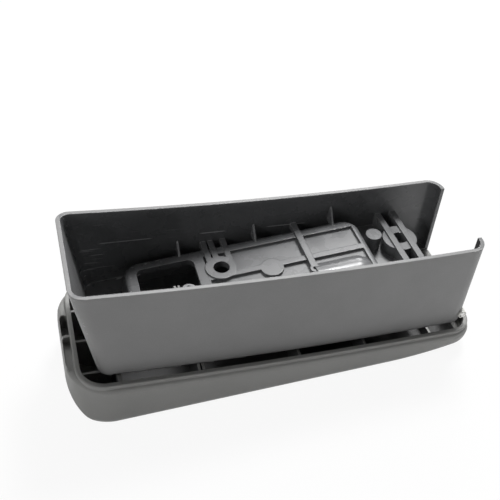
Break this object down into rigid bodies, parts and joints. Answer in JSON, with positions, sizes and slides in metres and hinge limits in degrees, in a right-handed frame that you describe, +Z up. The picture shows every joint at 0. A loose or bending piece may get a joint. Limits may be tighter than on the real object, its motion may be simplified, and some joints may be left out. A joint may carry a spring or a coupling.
{
  "type": "car armrest box",
  "caption": "Car armrest storage box lying on its hinged lid, with a ribbed lid shell, a sloping floor, a raised island and fixing bosses on its open underside.",
  "frame": {"origin": "middle of the bounding box's bottom face, on the lid's resting face", "axes": "+Z up out of the box's open underside, +X along the length towards the hinge"},
  "size_m": [0.328, 0.112, 0.1291],
  "materials": {
    "lid_plastic": "fine grain, satin",
    "box_plastic": "fine grain, satin",
    "pin_steel": "drawn",
    "bush_nylon": "smooth"
  },
  "bodies": {
    "lid": {"lid_shell": "lid_plastic", "hinge_pin": "pin_steel"},
    "box": {"box_body": "box_plastic", "hinge_bush_near": "bush_nylon", "hinge_bush_far": "bush_nylon"}
  },
  "joints": [
    {"name": "lid_hinge", "type": "hinge", "parent": "lid", "child": "box", "pos_m": [0.15413, 0, 0.03178], "axis": [0, 1, 0], "range_deg": [0, 95]}
  ]
}
